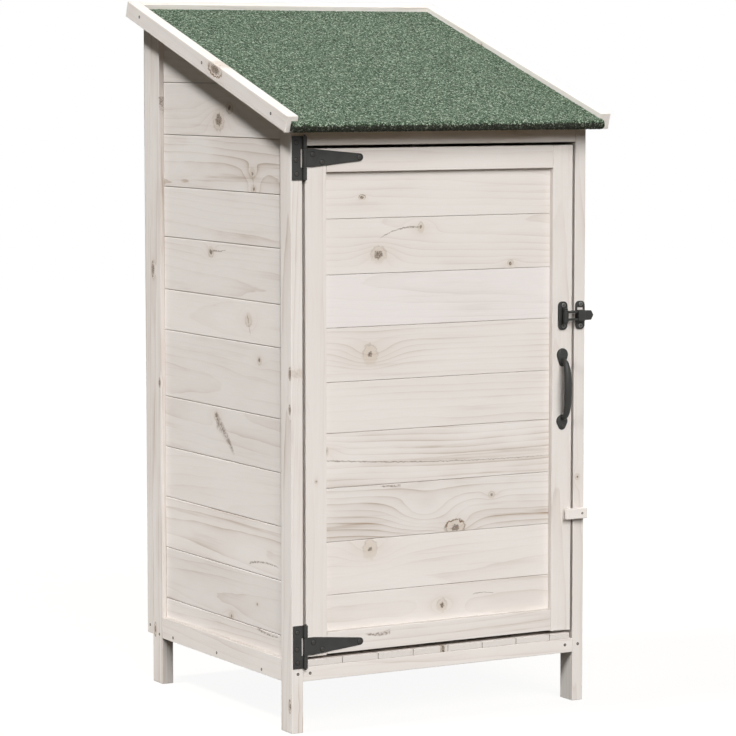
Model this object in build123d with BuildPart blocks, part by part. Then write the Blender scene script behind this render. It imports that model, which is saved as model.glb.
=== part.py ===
"""Wooden garden shed: a small lean-to tool store on four legs, with one framed and boarded door.

Millimetres. +X is to the right as the door is faced, +Y runs from the door to the back, +Z is up.
The origin is on the ground, under the middle of the whole shed.
"""
import os
from math import cos, radians, sin, tan

from build123d import *

os.makedirs("parts", exist_ok=True)

# body
body_width = 545.0
side_depth = 496.0
post_width = 20.0
post_depth = 36.0
rail_thick = 20.0
rail_high = 36.0
side_rail_base = 78.6
board_thick = 10.0
board_recess = 8.0
rafter_thick = 20.0
rafter_high = 30.0

# back panel, fixed behind the two side panels
back_thick = 21.0
back_base = 81.0
back_stile_wide = 36.0
back_top_rail_high = 36.0

# floor
floor_rail_base = 81.6
floor_rail_high = 23.0
slat_thick = 10.0
slat_gap = 1.0
slat_count = 7
slat_margin = 6.5
last_slat_share = 0.6

# doorway and door
door_gap = 5.0
header_high = 33.3
door_thick = 20.0
door_stile_wide = 38.0
door_rail_high = 36.5
door_bottom_rail_high = 34.5
door_rail_lift = 2.0

# roof
roof_slope = 18.2
barge_reach = 35.0
barge_front_top = 966.0
barge_back_reach = 9.4
barge_high = 26.5
barge_thick = 20.0
barge_gap = 5.0
felt_drop = 8.0
felt_thick = 3.0
deck_thick = 12.0
nose_high = 15.6
nose_reach = 44.0
nose_lap = 11.5
back_trim_thick = 18.0

# tee hinges
top_hinge_drop = 14.0
bottom_hinge_rise = 17.4
hinge_sheet = 2.0
knuckle_dia = 7.2
knuckle_notch = 2.2
pin_dia = 3.8
pin_play = 0.1
pin_tip = 2.0
knuckle_play = 0.5
plate_high = 68.0
plate_inset = 1.5
strap_root = 28.0
strap_square = 16.0
strap_length = 105.0
strap_tip_radius = 6.0

# flip latch
latch_rise = 53.2
latch_plate_wide = 18.0
latch_plate_high = 46.4
latch_plate_corner = 7.0
latch_sheet = 2.0
latch_pad_thick = 4.4
latch_inset = 18.6
latch_stand_off = 9.0
lever_high = 18.0
lever_thick = 4.0
lever_bar = 3.7
lever_window = 8.6
lever_barrel_dia = 8.0
lever_reach = 54.0
lever_head_length = 13.4
lever_tip_length = 17.2
lever_tip_high = 16.0
lever_tip_chamfer = 1.6
lever_point = 4.5
lug_high = 3.0
lug_play = 0.5
latch_pin_dia = 3.6
stud_dia = 5.0
stud_reach = 7.0
stud_inset = 3.6
stud_hole = 9.0
stud_hole_depth = 4.0
keeper_window_wide = 11.5
keeper_window_high = 4.4
keeper_window_rise = 10.8

# pull handle
handle_inset = 18.5
handle_rise = 331.9
handle_length = 133.5
handle_pad_wide = 21.0
handle_top_pad_high = 30.0
handle_top_pad_tip = 6.0
handle_base_pad_high = 25.0
handle_base_pad_tip = 3.5
handle_pad_thick = 2.5
handle_pad_round = 1.2
handle_reach = 23.0
grip_wide = 14.0
grip_thick = 9.0
grip_neck_wide = 8.0
grip_top_set = 9.0
grip_base_set = 5.0
grip_sink = 0.5
grip_shares = (0.0, 0.12, 0.3, 0.5, 0.7, 0.88, 1.0)
grip_swell_shares = (0.0, 0.25, 0.8, 1.0, 0.8, 0.25, 0.0)
grip_lead_share = 0.25
grip_bow_share = 0.9375

# turn button
button_length = 40.0
button_high = 17.5
button_thick = 7.0
button_rise = 193.4
button_stand_off = 5.0
button_tail = 9.6
button_hole = 4.6
button_screw_dia = 4.4
button_head_dia = 8.4
button_head_thick = 2.4
button_head_gap = 0.4
button_washer_dia = 13.0
button_washer_gap = 0.4

# one overrun for every cut that passes right through
overrun = 1.0

# sizes that follow from the ones above
slope = radians(roof_slope)
half_width = body_width / 2
barge_length = (barge_reach + side_depth + back_thick + barge_back_reach) / cos(slope)
barge_tail = barge_length * cos(slope) - barge_reach + barge_high * sin(slope)
front_y = (nose_reach - barge_tail) / 2
deck_drop = felt_drop + felt_thick + deck_thick
roof_inner = half_width + barge_gap
panel_front = post_depth
panel_back = side_depth - post_depth
nose_width = 2 * (roof_inner + nose_lap)
floor_top = floor_rail_base + floor_rail_high + slat_thick
door_base = floor_top + door_gap
header_base = barge_front_top + barge_reach * tan(slope) - deck_drop / cos(slope) - header_high
door_top = header_base - door_gap
door_left = -half_width + post_width + door_gap
door_right = half_width - post_width - door_gap
hinge_x = -half_width + post_width + door_gap / 2
hinge_y = front_y - knuckle_dia / 2
hinge_mids = {"top": door_top - top_hinge_drop, "bottom": door_base + bottom_hinge_rise}
handle_base = door_base + handle_rise
handle_top = handle_base + handle_length
latch_mid = handle_top + latch_rise
button_mid = door_base + button_rise

front_face = Plane.XZ.offset(-front_y)
roof_top = Plane(
    origin=(0, front_y - barge_reach, barge_front_top),
    x_dir=(1, 0, 0),
    z_dir=(0, -sin(slope), cos(slope)),
)


def under_deck(depth):
    """Height of the deck's underside at a depth measured back from the front face."""
    return barge_front_top + (depth + barge_reach) * tan(slope) - deck_drop / cos(slope)


def save(piece, label):
    """Name a finished piece and write its file."""
    piece.part.label = label
    export_step(piece.part, f"parts/{label}.step")


def square_timber(label, xs, depths, heights):
    """A timber with square ends, between two corners."""
    with BuildPart() as timber:
        with BuildSketch(Plane.XY.offset(heights[0])):
            with Locations((sum(xs) / 2, front_y + sum(depths) / 2)):
                Rectangle(abs(xs[1] - xs[0]), depths[1] - depths[0])
        extrude(amount=heights[1] - heights[0])
    save(timber, label)


def roof_cut_timber(label, xs, depths, base, rise=None):
    """A timber with its top cut to the deck's slope; rise makes its underside follow the slope too."""
    bases = [base if rise is None else under_deck(depth) - rise / cos(slope) for depth in depths]
    with BuildPart() as timber:
        with BuildSketch(Plane.YZ.offset(min(xs))):
            with BuildLine():
                Polyline(
                    (front_y + depths[0], bases[0]),
                    (front_y + depths[1], bases[1]),
                    (front_y + depths[1], under_deck(depths[1])),
                    (front_y + depths[0], under_deck(depths[0])),
                    close=True,
                )
            make_face()
        extrude(amount=abs(xs[1] - xs[0]))
    save(timber, label)


def roof_timber(label, xs, runs, drops):
    """A straight roof piece, by its run up the slope and its drops below the barge boards' top edge."""
    with BuildPart() as timber:
        with BuildSketch(roof_top.offset(-drops[1])):
            with Locations((sum(xs) / 2, sum(runs) / 2)):
                Rectangle(abs(xs[1] - xs[0]), runs[1] - runs[0])
        extrude(amount=drops[1] - drops[0])
    save(timber, label)


# side panels: two posts that run down as legs, a bottom rail, boards, and a rafter inside the boards
for side, hand in (("left", -1), ("right", 1)):
    outer = hand * half_width
    post_in = outer - hand * post_width
    board_out = outer - hand * board_recess
    board_in = board_out - hand * board_thick
    roof_cut_timber(f"front_{side}_post", (outer, post_in), (0, post_depth), 0)
    roof_cut_timber(f"back_{side}_post", (outer, post_in), (panel_back, side_depth), 0)
    square_timber(
        f"{side}_bottom_rail",
        (outer, outer - hand * rail_thick),
        (panel_front, panel_back),
        (side_rail_base, side_rail_base + rail_high),
    )
    roof_cut_timber(
        f"{side}_wall_boards", (board_out, board_in), (panel_front, panel_back), side_rail_base + rail_high
    )
    roof_cut_timber(
        f"{side}_rafter", (board_in, board_in - hand * rafter_thick), (panel_front, panel_back), 0, rafter_high
    )

# back panel: a frame of stiles and rails that holds boards
back_face = side_depth + back_thick
back_rail_top = back_base + rail_high
back_boards_top = under_deck(side_depth) - back_top_rail_high
back_inner = half_width - back_stile_wide
for side, hand in (("left", -1), ("right", 1)):
    roof_cut_timber(
        f"back_{side}_stile", (hand * half_width, hand * back_inner), (side_depth, back_face), back_base
    )
square_timber(
    "back_bottom_rail", (-back_inner, back_inner), (side_depth, back_face), (back_base, back_rail_top)
)
roof_cut_timber("back_top_rail", (-back_inner, back_inner), (side_depth, back_face), back_boards_top)
square_timber(
    "back_wall_boards",
    (-back_inner, back_inner),
    (back_face - board_recess - board_thick, back_face - board_recess),
    (back_rail_top, back_boards_top),
)

# front header, floor bearers and floor slats
between_posts = (-half_width + post_width, half_width - post_width)
bearer_heights = (floor_rail_base, floor_rail_base + floor_rail_high)
roof_cut_timber("front_header", between_posts, (0, rail_thick), header_base)
square_timber("front_bottom_rail", between_posts, (0, post_depth), bearer_heights)
square_timber("back_floor_bearer", between_posts, (panel_back, side_depth), bearer_heights)

slats_start = between_posts[0] + slat_margin
slats_across = between_posts[1] - between_posts[0] - 2 * slat_margin
slat_pitch = (slats_across + slat_gap) / (slat_count + last_slat_share)
slat_width = slat_pitch - slat_gap
last_slat_width = slat_pitch * last_slat_share - slat_gap
with BuildPart() as floor_slats:
    with BuildSketch(Plane.XY.offset(bearer_heights[1])):
        for index in range(slat_count):
            with Locations((slats_start + index * slat_pitch + slat_width / 2, front_y + side_depth / 2)):
                Rectangle(slat_width, side_depth)
        with Locations((slats_start + slat_count * slat_pitch + last_slat_width / 2, front_y + side_depth / 2)):
            Rectangle(last_slat_width, side_depth)
    extrude(amount=slat_thick)
save(floor_slats, "floor_boards")

# roof: deck, felt with its rolled front edge, barge boards and back trim
trim_run = barge_length - back_trim_thick
felt_drops = (felt_drop, felt_drop + felt_thick)
roof_timber("roof_deck", (-roof_inner, roof_inner), (0, trim_run), (felt_drops[1], deck_drop))
roof_timber("back_roof_trim", (-roof_inner, roof_inner), (trim_run, barge_length), (0, deck_drop))
for side, hand in (("left", -1), ("right", 1)):
    barge_xs = (hand * roof_inner, hand * (roof_inner + barge_thick))
    roof_timber(f"{side}_barge_board", barge_xs, (0, barge_length), (0, barge_high))

nose_radius = nose_high / 2
nose_mid = felt_drop + nose_radius
nose_tip = (barge_reach - nose_mid * sin(slope) - nose_reach + nose_radius) / cos(slope)
with BuildPart() as roof_felt:
    with BuildSketch(roof_top.offset(-felt_drops[1])):
        with Locations((0, trim_run / 2)):
            Rectangle(2 * roof_inner, trim_run)
    extrude(amount=felt_thick)
    nose_end = Plane(
        origin=(-nose_width / 2, front_y - barge_reach, barge_front_top),
        x_dir=(0, cos(slope), sin(slope)),
        z_dir=(1, 0, 0),
    )
    with BuildSketch(nose_end):
        with BuildLine():
            Polyline(
                (nose_tip, -felt_drop),
                (0, -felt_drop),
                (0, -felt_drop - nose_high),
                (nose_tip, -felt_drop - nose_high),
            )
            ThreePointArc(
                (nose_tip, -felt_drop - nose_high),
                (nose_tip - nose_radius, -nose_mid),
                (nose_tip, -felt_drop),
            )
        make_face()
    extrude(amount=nose_width)
save(roof_felt, "roof_felt")

# door: two stiles, two rails and the boards that they hold
stile_ins = (door_left + door_stile_wide, door_right - door_stile_wide)
door_rail_base = door_base + door_rail_lift
door_boards_base = door_rail_base + door_bottom_rail_high
door_boards_top = door_top - door_rail_high
door_depths = (0, door_thick)
square_timber("door_left_stile", (door_left, stile_ins[0]), door_depths, (door_base, door_top))
square_timber("door_right_stile", (stile_ins[1], door_right), door_depths, (door_base, door_top))
square_timber("door_top_rail", stile_ins, door_depths, (door_boards_top, door_top))
square_timber("door_bottom_rail", stile_ins, door_depths, (door_rail_base, door_boards_base))
square_timber(
    "door_boards",
    stile_ins,
    (board_recess, board_recess + board_thick),
    (door_boards_base, door_boards_top),
)

# tee hinges: a plate with two knuckles and the pin on the post, a tapered strap with one knuckle on the door
plate_left = -half_width + plate_inset
plate_right = hinge_x - knuckle_dia / 2 - knuckle_notch
for place, mid in hinge_mids.items():
    strap_top = mid + strap_root / 2
    strap_base = mid - strap_root / 2
    knuckle_high = (plate_high - strap_root) / 2 - knuckle_play
    knuckle_bases = (mid - plate_high / 2, strap_top + knuckle_play)
    with BuildPart() as hinge_plate:
        with BuildSketch(front_face):
            with Locations(((plate_left + plate_right) / 2, mid)):
                Rectangle(plate_right - plate_left, plate_high)
            for base in knuckle_bases:
                with Locations(((plate_left + hinge_x) / 2, base + knuckle_high / 2)):
                    Rectangle(hinge_x - plate_left, knuckle_high)
        extrude(amount=hinge_sheet)
        for base in knuckle_bases:
            with BuildSketch(Plane.XY.offset(base)):
                with Locations((hinge_x, hinge_y)):
                    Circle(knuckle_dia / 2)
            extrude(amount=knuckle_high)
        with BuildSketch(Plane.XY.offset(mid - plate_high / 2 - pin_tip)):
            with Locations((hinge_x, hinge_y)):
                Circle(pin_dia / 2)
        extrude(amount=plate_high + 2 * pin_tip)
    save(hinge_plate, f"{place}_hinge_plate")

    tip_x = hinge_x + strap_length - strap_tip_radius
    square_x = hinge_x + strap_square
    with BuildPart() as hinge_strap:
        with BuildSketch(front_face):
            with BuildLine():
                Polyline(
                    (hinge_x, strap_base),
                    (square_x, strap_base),
                    (tip_x, mid - strap_tip_radius),
                    (tip_x, mid + strap_tip_radius),
                    (square_x, strap_top),
                    (hinge_x, strap_top),
                    close=True,
                )
            make_face()
            with Locations((tip_x, mid)):
                Circle(strap_tip_radius)
        extrude(amount=hinge_sheet)
        with BuildSketch(Plane.XY.offset(strap_base)):
            with Locations((hinge_x, hinge_y)):
                Circle(knuckle_dia / 2)
        extrude(amount=strap_root)
        with BuildSketch(Plane.XY.offset(strap_base - overrun)):
            with Locations((hinge_x, hinge_y)):
                Circle(pin_dia / 2 + pin_play)
        extrude(amount=strap_root + 2 * overrun, mode=Mode.SUBTRACT)
    save(hinge_strap, f"{place}_hinge_strap")

# flip latch: a base with two lugs on the door, a lever that turns on their pin, and a keeper with a stud on the post
latch_x = door_right - latch_inset
keeper_x = half_width - post_width / 2
stud_x = keeper_x - stud_inset
pivot_y = front_y - latch_stand_off
lug_base = lever_high / 2 + lug_play
pad_left = latch_x - latch_plate_wide / 2
pad_right = latch_x + lever_barrel_dia / 2
with BuildPart() as latch_base:
    with BuildSketch(front_face):
        with Locations((latch_x, latch_mid)):
            RectangleRounded(latch_plate_wide, latch_plate_high, latch_plate_corner)
    extrude(amount=latch_sheet)
    with BuildSketch(front_face):
        with Locations(((pad_left + pad_right) / 2, latch_mid)):
            Rectangle(pad_right - pad_left, 2 * (lug_base + lug_high))
    extrude(amount=latch_pad_thick)
    for base in (latch_mid + lug_base, latch_mid - lug_base - lug_high):
        with BuildSketch(Plane.XY.offset(base)):
            with Locations((latch_x, front_y - latch_stand_off / 2)):
                Rectangle(lever_barrel_dia, latch_stand_off)
            with Locations((latch_x, pivot_y)):
                Circle(lever_barrel_dia / 2)
        extrude(amount=lug_high)
    with BuildSketch(Plane.XY.offset(latch_mid - lug_base - lug_high)):
        with Locations((latch_x, pivot_y)):
            Circle(latch_pin_dia / 2)
    extrude(amount=2 * (lug_base + lug_high))
save(latch_base, "latch_base")

with BuildPart() as latch_keeper:
    with BuildSketch(front_face):
        with Locations((keeper_x, latch_mid)):
            RectangleRounded(latch_plate_wide, latch_plate_high, latch_plate_corner)
        with Locations((keeper_x, latch_mid + keeper_window_rise)):
            Rectangle(keeper_window_wide, keeper_window_high, mode=Mode.SUBTRACT)
    extrude(amount=latch_sheet)
    with BuildSketch(front_face):
        with Locations((stud_x, latch_mid)):
            Circle(stud_dia / 2)
    extrude(amount=latch_sheet + stud_reach)
save(latch_keeper, "latch_keeper")

bar_back = front_face.offset(latch_stand_off - lever_thick / 2)
block_back = front_face.offset(latch_stand_off - lever_barrel_dia / 2)
root_right = latch_x + lever_barrel_dia / 2
lever_tip = latch_x + lever_reach
tip_left = lever_tip - lever_tip_length
head_left = tip_left - lever_head_length
half_tip = lever_tip_high / 2
bar_mid = (lever_window + lever_bar) / 2
with BuildPart() as latch_lever:
    with BuildSketch(bar_back):
        for mid in (latch_mid - bar_mid, latch_mid + bar_mid):
            with Locations(((latch_x + head_left) / 2, mid)):
                Rectangle(head_left - latch_x, lever_bar)
    extrude(amount=lever_thick)
    with BuildSketch(bar_back):
        with BuildLine():
            Polyline(
                (tip_left, latch_mid - half_tip),
                (lever_tip - lever_point, latch_mid - half_tip),
                (lever_tip, latch_mid),
                (lever_tip - lever_point, latch_mid + half_tip),
                (tip_left, latch_mid + half_tip),
                close=True,
            )
        make_face()
    extrude(amount=lever_thick)
    chamfer(latch_lever.edges().group_by(Axis.Y)[0].group_by(Axis.X)[-1], lever_tip_chamfer)
    with BuildSketch(Plane.XY.offset(latch_mid - lever_high / 2)):
        with Locations((latch_x, pivot_y)):
            Circle(lever_barrel_dia / 2)
        with Locations(((latch_x + root_right) / 2, pivot_y)):
            Rectangle(root_right - latch_x, lever_barrel_dia)
    extrude(amount=lever_high)
    with BuildSketch(block_back):
        with Locations(((head_left + tip_left) / 2, latch_mid)):
            Rectangle(lever_head_length, lever_high)
    extrude(amount=lever_barrel_dia)
    with BuildSketch(block_back):
        with Locations((stud_x, latch_mid)):
            Circle(stud_hole / 2)
    extrude(amount=stud_hole_depth, mode=Mode.SUBTRACT)
    with BuildSketch(Plane.XY.offset(latch_mid - lever_high / 2 - overrun)):
        with Locations((latch_x, pivot_y)):
            Circle(latch_pin_dia / 2 + pin_play)
    extrude(amount=lever_high + 2 * overrun, mode=Mode.SUBTRACT)
save(latch_lever, "latch_lever")

# pull handle: an egg-shaped and a heart-shaped pad on the stile, and a bowed grip that swells in the middle
handle_x = door_right - handle_inset
half_pad = handle_pad_wide / 2
top_pad_mid = handle_top - half_pad
base_pad_mid = handle_base + handle_base_pad_high - half_pad
grip_top = top_pad_mid - grip_top_set
grip_base = base_pad_mid + grip_base_set
grip_lead = grip_lead_share * (grip_top - grip_base)
grip_foot = front_y - handle_pad_thick + grip_sink
grip_out = front_y - handle_reach + grip_thick / 2
grip_pull = grip_foot + (grip_out - grip_foot) / grip_bow_share
pads = (
    (top_pad_mid, handle_top - handle_top_pad_high + handle_top_pad_tip, handle_top_pad_tip),
    (base_pad_mid, handle_base + handle_base_pad_tip, handle_base_pad_tip),
)
with BuildPart() as door_handle:
    for pad_mid, tip_mid, tip_radius in pads:
        with BuildSketch(front_face):
            with Locations((handle_x, pad_mid)):
                Circle(half_pad)
            with Locations((handle_x, tip_mid)):
                Circle(tip_radius)
            make_hull()
        extrude(amount=handle_pad_thick)
    fillet(door_handle.edges().group_by(Axis.Y)[0], handle_pad_round)
    with BuildLine(Plane.YZ.offset(handle_x)) as grip_line:
        Bezier(
            (grip_foot, grip_base),
            (grip_pull, grip_base),
            (grip_pull, grip_base + grip_lead),
            (grip_pull, grip_top - grip_lead),
            (grip_pull, grip_top),
            (grip_foot, grip_top),
        )
    for share, swell in zip(grip_shares, grip_swell_shares):
        section = Plane(origin=grip_line.line @ share, x_dir=(1, 0, 0), z_dir=grip_line.line % share)
        with BuildSketch(section):
            Ellipse((grip_neck_wide + (grip_wide - grip_neck_wide) * swell) / 2, grip_thick / 2)
    loft()
save(door_handle, "door_handle")

# turn button: a short batten that turns on a screw in the right post and laps over the door
button_back = front_face.offset(button_stand_off)
button_right = keeper_x + button_tail
with BuildPart() as turn_button:
    with BuildSketch(button_back):
        with Locations((button_right - button_length / 2, button_mid)):
            Rectangle(button_length, button_high)
        with Locations((keeper_x, button_mid)):
            Circle(button_hole / 2, mode=Mode.SUBTRACT)
    extrude(amount=button_thick)
save(turn_button, "turn_button")

head_back = button_stand_off + button_thick + button_head_gap
with BuildPart() as turn_button_screw:
    with BuildSketch(front_face):
        with Locations((keeper_x, button_mid)):
            Circle(button_washer_dia / 2)
    extrude(amount=button_stand_off - button_washer_gap)
    with BuildSketch(front_face):
        with Locations((keeper_x, button_mid)):
            Circle(button_screw_dia / 2)
    extrude(amount=head_back)
    with BuildSketch(front_face.offset(head_back)):
        with Locations((keeper_x, button_mid)):
            Circle(button_head_dia / 2)
    extrude(amount=button_head_thick)
save(turn_button_screw, "turn_button_screw")
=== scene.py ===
"""Looks of the wooden garden shed: boards, felt, ironwork, fixings, light and camera."""
import math
import random

import bmesh
import bpy
import numpy as np
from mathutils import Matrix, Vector


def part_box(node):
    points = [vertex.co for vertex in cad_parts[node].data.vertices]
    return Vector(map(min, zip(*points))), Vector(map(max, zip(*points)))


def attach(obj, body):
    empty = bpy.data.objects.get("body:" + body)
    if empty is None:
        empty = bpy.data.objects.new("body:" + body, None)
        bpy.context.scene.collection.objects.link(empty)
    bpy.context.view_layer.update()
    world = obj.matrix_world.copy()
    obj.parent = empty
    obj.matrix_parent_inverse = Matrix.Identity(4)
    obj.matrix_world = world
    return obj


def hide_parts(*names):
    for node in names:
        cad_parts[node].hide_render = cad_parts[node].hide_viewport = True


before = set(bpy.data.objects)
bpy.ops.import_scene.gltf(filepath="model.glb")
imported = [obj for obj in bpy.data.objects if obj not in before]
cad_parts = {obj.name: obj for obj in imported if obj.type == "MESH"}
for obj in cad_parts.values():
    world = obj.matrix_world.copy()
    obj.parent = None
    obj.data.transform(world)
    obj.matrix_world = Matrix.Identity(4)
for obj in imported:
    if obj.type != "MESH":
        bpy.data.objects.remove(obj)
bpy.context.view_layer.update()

# the shed's own sizes, in metres, in the frame of the CAD model
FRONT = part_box("door_left_stile")[0][1]
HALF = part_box("front_right_post")[1][0]
SLOPE = math.radians(18.2)
RISE = Vector((0, math.cos(SLOPE), math.sin(SLOPE)))
LIFT = Vector((0, -math.sin(SLOPE), math.cos(SLOPE)))
EAVE_OUT, EAVE_HIGH = 0.035, 0.966
EAVE = Vector((0, FRONT - EAVE_OUT, EAVE_HIGH))
ROOF_DEEP = 0.5614
BARGE = ROOF_DEEP / math.cos(SLOPE)
BARGE_WIDE, BARGE_TALL = 0.02, 0.0265
INNER = HALF + 0.005
TRIM_DEEP = 0.018
DECK_RUN = BARGE - TRIM_DEEP
RAFTER_TALL = 0.030

# drops below the barge boards' top edge
FELT_TOP, FELT_TUCK, DECK_TOP, DECK_BASE = 0.0080, 0.0109, 0.011, 0.023

# outer faces and the boards' set-back, in millimetres from the left post and the front face
RIGHT_FACE, BACK_FACE, BARGE_LEFT, BARGE_RIGHT, SET_BACK = 545, 517, -25, 570, 8

RIGHT, BACK, UP = Vector((1, 0, 0)), Vector((0, 1, 0)), Vector((0, 0, 1))


def across(x):
    """A place across the shed, from millimetres to the right of the left post's face."""
    return x / 1000 - HALF


def behind(depth):
    """A place in depth, from millimetres behind the front face."""
    return depth / 1000 + FRONT


def at(x, depth, z):
    """A point from millimetres across from the left post, back from the front face, and up."""
    return Vector((across(x), behind(depth), z / 1000))


def under_deck(y):
    """Height of the deck's underside at a depth in the frame."""
    return EAVE.z + (y - EAVE.y) * math.tan(SLOPE) - DECK_BASE / math.cos(SLOPE)


def roof_point(run, drop):
    """Depth and height of a roof point, by its run up the slope and its drop below the barge's top edge."""
    p = EAVE + RISE * run - LIFT * drop
    return (p.y, p.z)


def roof_slab(run0, run1, drop0, drop1):
    """The outline, in depth and height, of a board that lies on the roof's slope."""
    return [roof_point(*place) for place in ((run0, drop1), (run1, drop1), (run1, drop0), (run0, drop0))]


# node helpers
def new_material(name):
    mat = bpy.data.materials.new(name)
    mat.use_nodes = True
    tree = mat.node_tree
    tree.nodes.clear()
    return mat, tree


def node(tree, kind, ins=None, **props):
    made = tree.nodes.new(kind)
    for key, value in props.items():
        setattr(made, key, value)
    for key, value in (ins or {}).items():
        socket = made.inputs[key]
        if isinstance(value, bpy.types.NodeSocket):
            tree.links.new(value, socket)
        else:
            socket.default_value = value
    return made


def math_node(tree, op, *values, clamp=False):
    return node(tree, "ShaderNodeMath", dict(enumerate(values)), operation=op, use_clamp=clamp).outputs[0]


def remap(tree, value, lo, hi, to_lo=0.0, to_hi=1.0, smooth=True):
    made = node(tree, "ShaderNodeMapRange", {0: value, 1: lo, 2: hi, 3: to_lo, 4: to_hi})
    made.interpolation_type = "SMOOTHSTEP" if smooth else "LINEAR"
    return made.outputs[0]


def mix_colour(tree, factor, a, b, blend="MIX"):
    made = node(tree, "ShaderNodeMix", data_type="RGBA", blend_type=blend)
    for socket, value in ((made.inputs["Factor"], factor), (made.inputs[6], a), (made.inputs[7], b)):
        if isinstance(value, bpy.types.NodeSocket):
            tree.links.new(value, socket)
        elif isinstance(value, (int, float)):
            socket.default_value = value
        else:
            socket.default_value = (*value, 1.0)
    return made.outputs[2]


def noise(tree, vector, scale, detail=2.0, rough=0.5, distort=0.0):
    made = node(
        tree, "ShaderNodeTexNoise",
        {"Vector": vector, "Scale": scale, "Detail": detail, "Roughness": rough, "Distortion": distort},
    )
    return made.outputs["Fac"]


def stretch(tree, vector, scale):
    return node(tree, "ShaderNodeVectorMath", {0: vector, 1: scale}, operation="MULTIPLY").outputs[0]


def bumps(tree, strength, distance, height):
    made = node(tree, "ShaderNodeBump", {"Strength": strength, "Distance": distance, "Height": height})
    return made.outputs[0]


def show(tree, shader, kind="ShaderNodeOutputMaterial"):
    """Make a shader the output of its tree."""
    tree.links.new(shader.outputs[0], node(tree, kind).inputs[0])


def surface(tree, colour, rough, bump, shine, metal=0.0):
    """The one surface of a material."""
    show(tree, node(tree, "ShaderNodeBsdfPrincipled", {
        "Base Color": colour, "Roughness": rough, "Normal": bump, "Metallic": metal,
        "Specular IOR Level": shine}))


def seen_directly(tree):
    """1 for rays from the camera, off a gloss or through glass, 0 for light that bounces on."""
    path = node(tree, "ShaderNodeLightPath").outputs
    either = math_node(tree, "ADD", path["Is Camera Ray"], path["Is Glossy Ray"])
    return math_node(tree, "ADD", either, path["Is Transmission Ray"], clamp=True)


def srgb(r, g, b):
    return tuple((c / 255 / 12.92) if c <= 10 else ((c / 255 + 0.055) / 1.055) ** 2.4 for c in (r, g, b))


# wood: growth rings round a pith, bent by knots, under a thin whitewash
RING_WIDE = 0.0085
WAVE_DEEP, RIPPLE_DEEP = 0.02, 0.003
BRANCH_WOBBLE = 0.004
TINY = 0.00001
KNOT_HALO, KNOT_DISC = srgb(192, 166, 136), srgb(196, 176, 152)
KNOT_EDGE, KNOT_CORE = srgb(126, 100, 76), srgb(84, 62, 44)
BRANCH = srgb(112, 88, 66)
KNOT_KEYS = ("k1", "k2", "k3")
ATTRIBUTES = ("log", "loc", "tone", *KNOT_KEYS, "kc", "ka", "s1", "s2")


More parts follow.
